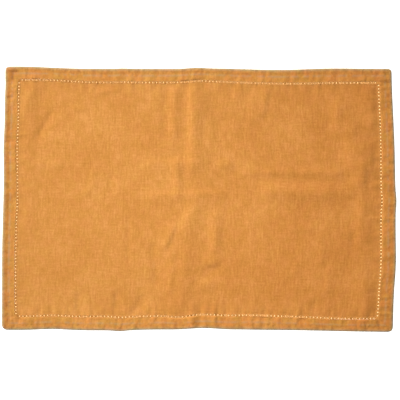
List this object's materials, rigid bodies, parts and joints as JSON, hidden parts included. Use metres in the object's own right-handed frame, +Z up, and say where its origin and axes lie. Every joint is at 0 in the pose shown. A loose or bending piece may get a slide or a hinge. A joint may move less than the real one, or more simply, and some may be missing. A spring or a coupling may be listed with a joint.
{
  "type": "fabric placemat",
  "caption": "Rectangular linen placemat lying flat, with a turned double hem and a hemstitched line of small drawn-thread holes along the hem's inner edge.",
  "frame": {"origin": "middle of the mat's outline, on the surface that it lies on", "axes": "+X along the long side, +Y along the short side, +Z up out of the cloth's face"},
  "size_m": [0.4548, 0.306, 0.0027],
  "materials": {
    "linen": "matt washed plain-weave linen"
  },
  "bodies": {
    "root": {"placemat": "linen"}
  },
  "joints": []
}
